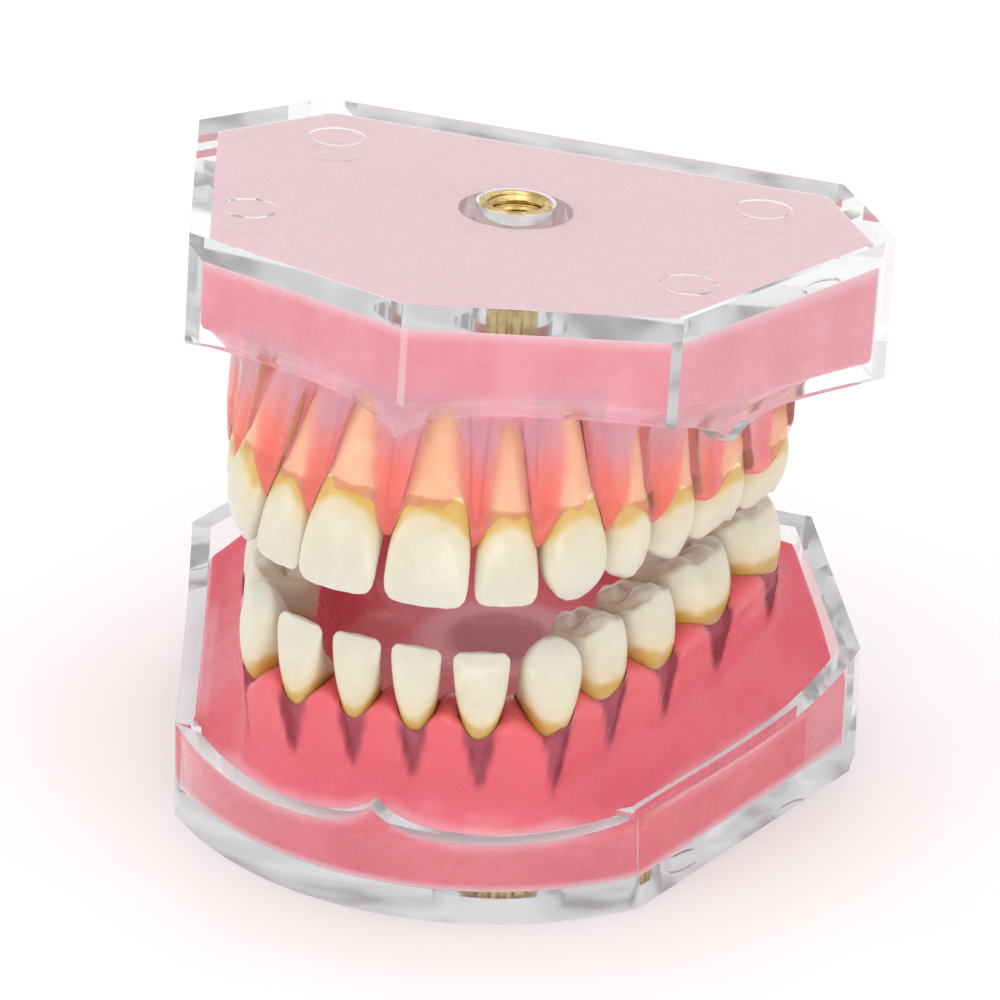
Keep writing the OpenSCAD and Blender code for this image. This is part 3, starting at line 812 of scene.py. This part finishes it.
def build_insert(jaw):
    """A knurled body with two bands, a plain collar and an M6 thread in its bore."""
    node = jaw.name + "_brass_insert"
    points = node_points(node, jaw)
    length = points[:, 2].max()
    outer = np.hypot(points[:, 0], points[:, 1]).max() + CONTACT
    inner = np.hypot(points[:, 0], points[:, 1]).min()
    columns, pitch, thread_depth, knurls = 192, 1.0, 0.5, 24
    chamfer, collar, groove, ramp_length = 0.55, 0.8, 0.8, 0.2
    angle = np.linspace(0, 2 * np.pi, columns, endpoint=False)
    knurl = 0.5 + 0.5 * np.cos(angle * knurls)
    rows = []

    def ring(radius, z):
        r = radius * np.ones(columns)
        rows.append((r * np.cos(angle), r * np.sin(angle), np.full(columns, z)))

    ring(inner + chamfer, 0.0)
    ring(outer - 0.45, 0.0)
    ring(outer - 0.3, 0.15)
    ring(outer - 0.3, collar - 0.05)
    for z0, z1 in ((collar, length / 2), (length / 2 + groove, length)):
        for z, share in ((z0, 0.0), (z0 + ramp_length, 1.0), (z1 - ramp_length, 1.0), (z1, 0.0)):
            ring(outer - 0.6 + (0.25 + 0.35 * knurl) * share, z)
    ring(inner + chamfer, length)
    for z in np.linspace(length - 0.35, 0.3, 90):
        phase = (z / pitch - angle / (2 * np.pi)) % 1.0
        ring(inner + thread_depth * np.abs(2 * phase - 1), z)
    rows.append(rows[0])
    points, faces = closed_rows(rows, columns)
    mesh = welded(make_mesh(node + "_fine", jaw.out(points), faces, jaw.flip))
    piece = make_object("vis_" + node, mesh, BRASS)
    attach(piece, jaw.body)
    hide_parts(node)
    return piece


# ---------------------------------------------------------------- gums

# How much further the resin stands out over the canines' roots.
CANINE_COVER = {"upper": 0.0, "lower": 0.45}


class Gum:
    """What a gum's section needs round the jaw, by the angle from the front."""

    def __init__(self, jaw, teeth):
        self.jaw = jaw
        self.teeth = teeth
        points = node_points(jaw.name + "_gum", jaw)
        self.bottom = points[:, 2].min()
        base = points[points[:, 2] < self.bottom + 0.05][:, :2]
        self.outline = base[self.hull(base)]
        boss = node_points(jaw.name + "_tray", jaw)
        near = boss[(np.hypot(boss[:, 0], boss[:, 1]) < 7) & (boss[:, 2] > 9)]
        self.boss_top = near[:, 2].max()
        self.boss_r = np.hypot(near[:, 0], near[:, 1]).max()
        mesh = frame["nodes"][jaw.name + "_tray"].data
        self.tray = BVHTree.FromPolygons(
            [Vector(p) for p in jaw.into(mesh_points(mesh))], [tuple(p.vertices) for p in mesh.polygons]
        )
        order = sorted(teeth, key=lambda t: math.atan2(t.neck[0], -t.neck[1]))
        self.angles = np.array([math.atan2(t.neck[0], -t.neck[1]) for t in order])
        self.reach = np.array([math.hypot(t.neck[0], t.neck[1]) for t in order])
        self.level = np.array([t.neck[2] for t in order])
        self.half = np.array([0.45 * t.depth + (t.kind == "canine") * CANINE_COVER[jaw.name] for t in order])
        # how far the root's middle moves out for each millimetre towards the biting edge
        self.lean = np.array([
            (t.axis[:2] @ (t.neck[:2] / np.linalg.norm(t.neck[:2]))) / t.axis[2] for t in order
        ])
        self.bulge = np.array([1.0 if t.index < 3 else 0.55 for t in order])
        self.end = abs(self.angles[-1]) + math.radians(12)

    @staticmethod
    def hull(points):
        """Indices of the convex hull, anticlockwise."""
        order = sorted(range(len(points)), key=lambda i: tuple(np.round(points[i][:2], 4)))

        def half(indices):
            chain = []
            for i in indices:
                while len(chain) > 1:
                    a, b = points[chain[-2]], points[chain[-1]]
                    turn = (b[0] - a[0]) * (points[i][1] - a[1]) - (b[1] - a[1]) * (points[i][0] - a[0])
                    if turn > 1e-6:
                        break
                    chain.pop()
                chain.append(i)
            return chain[:-1]

        return half(order) + half(order[::-1])

    def wall(self, phi):
        """Distance from the middle to the inside of the tray wall."""
        d = np.array((math.sin(phi), -math.cos(phi)))
        best = 1e9
        n = len(self.outline)
        for i in range(n):
            a, b = self.outline[i], self.outline[(i + 1) % n]
            e = b - a
            cross = d[0] * e[1] - d[1] * e[0]
            if abs(cross) < 1e-9:
                continue
            t = (a[0] * e[1] - a[1] * e[0]) / cross
            s = (a[0] * d[1] - a[1] * d[0]) / cross
            if t > 0 and -1e-6 <= s <= 1 + 1e-6:
                best = min(best, t)
        return best

    def rim(self, phi, wall):
        """Height of the tray's rim outside the gum."""
        r = wall + 1.0
        spot = Vector((r * math.sin(phi), -r * math.cos(phi), 60.0))
        hit = self.tray.ray_cast(spot, Vector((0, 0, -1)))[0]
        return hit.z if hit else 10.0

    def along(self, values, phi):
        return smooth_table(np.stack((self.angles, values), 1), phi)

    def between(self, phi):
        """1 between two teeth, 0 at the middle of a tooth and behind the last one."""
        k = int(np.searchsorted(self.angles, phi)) - 1
        if k < 0 or k >= len(self.angles) - 1:
            return 0.0
        share = (phi - self.angles[k]) / (self.angles[k + 1] - self.angles[k])
        return math.sin(math.pi * share) ** 2


# How far the gum rises between two front teeth, over the neck line.
PAPILLA = {"upper": 3.6, "lower": 2.2}
# How far the gum stands out over a front root, and how far it sinks in between two.
SWELL = {"upper": 1.15, "lower": 0.6}
RECESS = {"upper": 0.7, "lower": 0.0}
# How far the resin swells past the CAD gum. A hair of air stays between it and the tray.
CONTACT = 0.02


def gum_section(gum, phi, rim, skin):
    """Radius and height of the gum's section at one angle, from the wall's foot inwards.

    skin is how far the section lies under the gum's outside: 0 for the gum itself."""
    wall = gum.wall(phi) + CONTACT - 0.5 * min(skin, 1.0)
    low = gum.bottom - CONTACT + 0.25 * min(skin, 1.0)
    at_wall = rim - 0.9 - 0.5 * skin
    film = gum.boss_top + 0.05 - 0.35 * skin
    floor = film + 0.25
    hole = gum.boss_r + 0.05 + 0.5 * skin
    # the gum's outside closes over the boss as a thin film; its core stays round it
    if skin == 0:
        centre = [(0.0, floor), (0.0, film), (hole, film), (hole, low)]
    else:
        centre = [(hole, low + (floor - low) * share) for share in (1.0, 0.6, 0.3, 0.0)]
    reach, level = gum.along(gum.reach, phi), gum.along(gum.level, phi)
    half, lean = gum.along(gum.half, phi), gum.along(gum.lean, phi)
    bulge, gap = gum.along(gum.bulge, phi), gum.between(phi)
    fold = 1 - smoothstep((abs(phi) - gum.end) / math.radians(16))

    def root(z):
        """Radius of the outer side of the roots at a height."""
        t = np.clip((level - z) / 12, 0, 1)
        return reach - lean * (level - z) + half * (1 - 0.5 * t)

    swell = bulge * (SWELL[gum.jaw.name] * (1 - gap) - RECESS[gum.jaw.name] * gap)
    papilla = PAPILLA[gum.jaw.name] * (0.45 + 0.55 * bulge) * gap**0.8
    crest = level + 0.3 + papilla - 1.15 * skin
    outer_z = level - 0.15 + papilla - 1.0 * skin
    inner_z = level - 0.35 + 0.8 * papilla - 1.0 * skin
    z_low = at_wall + 0.30 * (outer_z - at_wall)
    z_high = at_wall + 0.72 * (outer_z - at_wall)
    r_high = root(z_high) + 0.35 + swell - skin
    r_low = root(z_low) + 0.9 + 0.8 * swell - skin
    r_wall = 0.55 * wall + 0.45 * min(r_low + 1.2, wall)
    r_foot = max(wall - 0.25, r_wall)
    ridge = [
        (wall, low), (wall, at_wall - 0.5), (r_foot, at_wall - 0.1),
        (r_wall, at_wall + 0.35), (r_low, z_low), (r_high, z_high),
        (reach + half + 0.40 - skin * 0.9, outer_z), (reach + 0.35 * half, crest),
        (reach - 0.35 * half, crest), (reach - half - 0.35 + skin * 0.8, inner_z),
        (reach - half - 1.3 + skin, (inner_z * 0.6 + floor * 0.4)),
        (reach - half - 3.2 + skin, floor + 1.6), (reach - half - 6.5, floor + 0.35),
        (gum.boss_r + 3.0, floor), *centre,
    ]
    back = [(wall, low), (wall, at_wall - 0.5), (wall - 0.25, at_wall - 0.1)]
    inner = gum.boss_r + 3.0
    for k in range(10):
        t = (k + 1) / 11
        radius = wall - 0.4 + (inner - wall + 0.4) * t
        back.append((radius, at_wall + (floor - at_wall) * smoothstep(t * 1.15)))
    back += [(inner, floor), *centre]
    ridge, back = np.array(ridge), np.array(back)
    points = back + (ridge - back) * fold
    # inside the rim the gum keeps to the wall, and over it it may spread out
    widest = wall + 1.2 * np.maximum(0.0, points[:, 1] - rim)
    points[:, 0] = np.minimum(points[:, 0], widest)
    return points


def sampled(points, corners, steps):
    """A smooth curve through the points, kept sharp at the corners."""
    last = len(points) - 1
    step = np.diff(points, axis=0)
    length = np.maximum(np.linalg.norm(step, axis=1), 1e-6)[:, None]
    middle = (points[2:] - points[:-2]) / (length[1:] + length[:-1])
    t = np.linspace(0, 1, steps, endpoint=False)[:, None]
    out = []
    for k in range(last):
        straight = step[k] / length[k]
        start = straight if k in corners or k == 0 else middle[k - 1]
        end = straight if k + 1 in corners or k + 1 == last else middle[k]
        out.append(
            (2 * t**3 - 3 * t**2 + 1) * points[k] + (t**3 - 2 * t**2 + t) * length[k] * start
            + (3 * t**2 - 2 * t**3) * points[k + 1] + (t**3 - t**2) * length[k] * end
        )
    out.append(points[-1:])
    return np.concatenate(out)


# The points of a gum's section where it is sharp: by the wall, and from the floor's end inwards.
SECTION_CORNERS = {0, 1, 13, 14, 15, 16, 17}


def gum_mesh(gum, name, skin, columns, steps):
    """The gum's sections round the jaw, joined into one closed shape."""
    phis = np.linspace(-np.pi, np.pi, columns, endpoint=False)
    walls = np.array([gum.wall(p) for p in phis])
    rims = np.array([gum.rim(p, w) for p, w in zip(phis, walls)])
    spread = max(1, columns // 40)
    low_rims = np.array([
        np.min([rims[(i + k) % columns] for k in range(-spread, spread + 1)]) for i in range(columns)
    ])
    kernel = np.hanning(2 * spread + 3)[1:-1]
    kernel /= kernel.sum()
    low_rims = np.concatenate((low_rims[-spread:], low_rims, low_rims[:spread]))
    low_rims = np.convolve(low_rims, kernel, "valid")
    rows = []
    for phi, rim in zip(phis, low_rims):
        curve = sampled(gum_section(gum, phi, rim, skin), SECTION_CORNERS, steps)
        curve[:, 1] = np.maximum(curve[:, 1], gum.bottom - CONTACT + 0.25 * min(skin, 1.0))
        rows.append(np.stack((curve[:, 0] * math.sin(phi), -curve[:, 0] * math.cos(phi), curve[:, 1]), 1))
    count = len(rows[0])
    points = np.concatenate(rows)
    faces = []
    for i in range(columns):
        n = (i + 1) % columns
        for k in range(count):
            m = (k + 1) % count
            faces.append((i * count + k, i * count + m, n * count + m, n * count + k))
    return welded(make_mesh(name, gum.jaw.out(points), faces, gum.jaw.flip))


def cutter(teeth, name, grow, material):
    """The teeth as one shape, grown a little, for cutting sockets."""
    work = bmesh.new()
    for tooth in teeth:
        mesh = tooth_mesh(tooth, columns=28, grow=grow, coarse=True)
        work.from_mesh(mesh)
        bpy.data.meshes.remove(mesh)
    mesh = bpy.data.meshes.new(name)
    work.to_mesh(mesh)
    work.free()
    return make_object(name, mesh, material)


def painted_light_share(gum, mesh):
    """How far painted light lifts the resin's colour: a painted highlight along the rim, and painted light against
    the plate and round the boss, where the resin lies in shade.
    """
    points = gum.jaw.into(mesh_points(mesh))
    phis = np.linspace(-np.pi, np.pi, 361)
    walls = [gum.wall(p) for p in phis]
    rims = [gum.rim(p, w) for p, w in zip(phis, walls)]
    turn = np.arctan2(points[:, 0], -points[:, 1])
    from_wall = np.interp(turn, phis, walls) - np.hypot(points[:, 0], points[:, 1])
    under_rim = np.interp(turn, phis, rims) - points[:, 2]
    band = smoothstep((1.8 - from_wall) / 0.9) * smoothstep((1.3 - np.abs(under_rim - 0.5)) / 0.8)
    base = smoothstep((gum.bottom + 0.6 - points[:, 2]) / 0.4)
    radius = np.hypot(points[:, 0], points[:, 1])
    ring = smoothstep((gum.boss_r + 3.5 - radius) / 1.5) * smoothstep((radius - gum.boss_r + 0.6) / 0.8)
    film = smoothstep((gum.boss_r - radius) / 0.6)
    return np.maximum.reduce((0.5 * band, base, 0.8 * ring, 0.7 * film))


# How clear the skin is over a root, how clear it is between two roots, how far down the
# root shows as a share of its length, how fast the clear patch narrows towards the
# root's tip, and its half width as a share of the tooth's.
WINDOW = {"upper": (0.84, 0.22, 0.80, 0.66, 0.31), "lower": (0.72, 0.0, 0.56, 0.9, 0.24)}
# How much of the boss shows through the film of resin over it.
FILM_CLEAR = 0.45


def mark_gum(gum, mesh):
    """Sets the point values that the gum's material reads."""
    most, least, reach, narrows, share = WINDOW[gum.jaw.name]
    points = gum.jaw.into(mesh_points(mesh))
    over = np.zeros(len(points))
    near = np.full(len(points), np.inf)
    depth = np.zeros(len(points))
    outer = np.zeros(len(points))
    for tooth in gum.teeth:
        local = tooth.local(points)
        t = np.clip(-local[:, 2] / (reach * tooth.root), 0, 1)
        half_x = share * tooth.width * (1 - narrows * t)
        off_x = smoothstep((half_x + 0.4 - np.abs(local[:, 0])) / 0.7)
        outside = smoothstep((1.0 - local[:, 1]) / 2.0)
        along = smoothstep((local[:, 2] + reach * tooth.root) / 2.0)
        along = along * smoothstep((2.5 - local[:, 2]) / 2.0)
        over = np.maximum(over, off_x * outside * along)
        distance = np.hypot(local[:, 0], local[:, 1])
        closer = distance < near
        near[closer] = distance[closer]
        depth[closer] = np.clip(-local[closer, 2] / tooth.root, 0, 1)
        front = smoothstep((2.5 - local[:, 1]) / 2.0) * (1.0 if tooth.index < 5 else 0.4)
        outer[closer] = front[closer]
    gap = outer * (1 - over) * smoothstep((0.95 - depth) / 0.35) * (near < 9)
    clear = most * over + least * gap
    radius = np.hypot(points[:, 0], points[:, 1])
    clear = np.maximum(clear, FILM_CLEAR * smoothstep((gum.boss_r - radius) / 0.6))
    point_values(mesh, "clear", clear)
    point_values(mesh, "gap", gap)
    point_values(mesh, "depth", depth)
    point_values(mesh, "pale", painted_light_share(gum, mesh))


# How far the cloudy core lies under the gum's outside.
CORE_DEPTH = 2.0


def build_gum(jaw, teeth):
    gum = Gum(jaw, teeth)
    columns, steps = ((360, 6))
    mesh = gum_mesh(gum, jaw.name + "_gum_skin", 0.0, columns, steps)
    skin = make_object(f"vis_{jaw.name}_gum", mesh, GUM[jaw.name])
    mesh = gum_mesh(gum, jaw.name + "_gum_core", CORE_DEPTH, columns // 2, 4)
    core = make_object(f"vis_{jaw.name}_gum_core", mesh, CORE[jaw.name])
    for piece, grow, paint in ((skin, 0.12, SOCKET), (core, 0.30, CORE)):
        # Neighbours touch, so every second tooth is cut at a time.
        for share in (teeth[::2], teeth[1::2]):
            tool = cutter(share, piece.name + "_cutter", grow, paint[jaw.name])
            boolean(piece, tool, "DIFFERENCE")
            bpy.data.objects.remove(tool)
        piece.data.shade_smooth()
        piece.data.set_sharp_from_angle(angle=math.radians(40))
        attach(piece, jaw.body)
    mark_gum(gum, skin.data)
    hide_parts(jaw.name + "_gum")
    return skin


# ---------------------------------------------------------------- stage, light, camera

def build_stage():
    half, drop = 3.0, -0.0001
    corners = [(-half, -half, drop), (half, -half, drop), (half, half, drop), (-half, half, drop)]
    mesh = make_mesh("floor", corners, [(0, 1, 2, 3)])
    floor = make_object("floor", mesh, floor_paint())
    world = bpy.data.worlds.new("studio")
    bpy.context.scene.world = world
    world.use_nodes = True
    sky = world.node_tree.nodes["Background"]
    sky.inputs["Color"].default_value = (1.0, 1.0, 1.0, 1)
    sky.inputs["Strength"].default_value = 0.88


def soft_box(name, place, aim, size, power):
    light = bpy.data.lights.new(name, "AREA")
    light.shape = "RECTANGLE"
    light.size, light.size_y = size
    light.energy = power
    lamp = bpy.data.objects.new(name, light)
    lamp.location = place
    lamp.rotation_euler = (Vector(aim) - Vector(place)).to_track_quat("-Z", "Y").to_euler()
    lamp.visible_camera = False
    bpy.context.scene.collection.objects.link(lamp)


def build_lights():
    middle = (cad_low + cad_high) / 2
    soft_box("top", (0.0, -0.05, 0.75), middle, (0.7, 0.7), 1.4)
    soft_box("left", (-0.7, -0.45, 0.35), middle, (0.5, 0.6), 0.9)
    soft_box("right", (0.75, -0.35, 0.30), middle, (0.5, 0.6), 0.6)
    soft_box("front", (0.25, -0.9, 0.16), middle, (0.5, 0.3), 1.2)


# The camera's angles in degrees, its distance in metres and its lens in millimetres.
AZIMUTH, ELEVATION, ROLL = 18.7, 27.9, 1.5
DISTANCE, LENS = 0.64, 234.0
AIM = Vector((0.0076, -0.0229, 0.0405))


def build_camera():
    az, el = math.radians(AZIMUTH), math.radians(ELEVATION)
    back = Vector((math.sin(az) * math.cos(el), -math.cos(az) * math.cos(el), math.sin(el)))
    camera = bpy.data.cameras.new("camera")
    camera.lens = LENS
    camera.sensor_width = 36.0
    camera.clip_start = 0.01
    holder = bpy.data.objects.new("camera", camera)
    holder.location = AIM + back * DISTANCE
    holder.rotation_euler = (-back).to_track_quat("-Z", "Y").to_euler()
    holder.rotation_euler.rotate_axis("Z", math.radians(ROLL))
    bpy.context.scene.collection.objects.link(holder)
    bpy.context.scene.camera = holder
    view = bpy.context.scene.view_settings
    view.view_transform = "Standard"
    view.look = "None"


# ---------------------------------------------------------------- the model

for jaw_name in JAWS:
    this_jaw = Jaw(jaw_name)
    row = [Tooth(this_jaw, k, side) for side in SIDES for k in range(len(TEETH))]
    for one in row:
        build_tooth(one)
    build_gum(this_jaw, row)
    build_tray(this_jaw)
    build_insert(this_jaw)

build_stage()
build_lights()
build_camera()
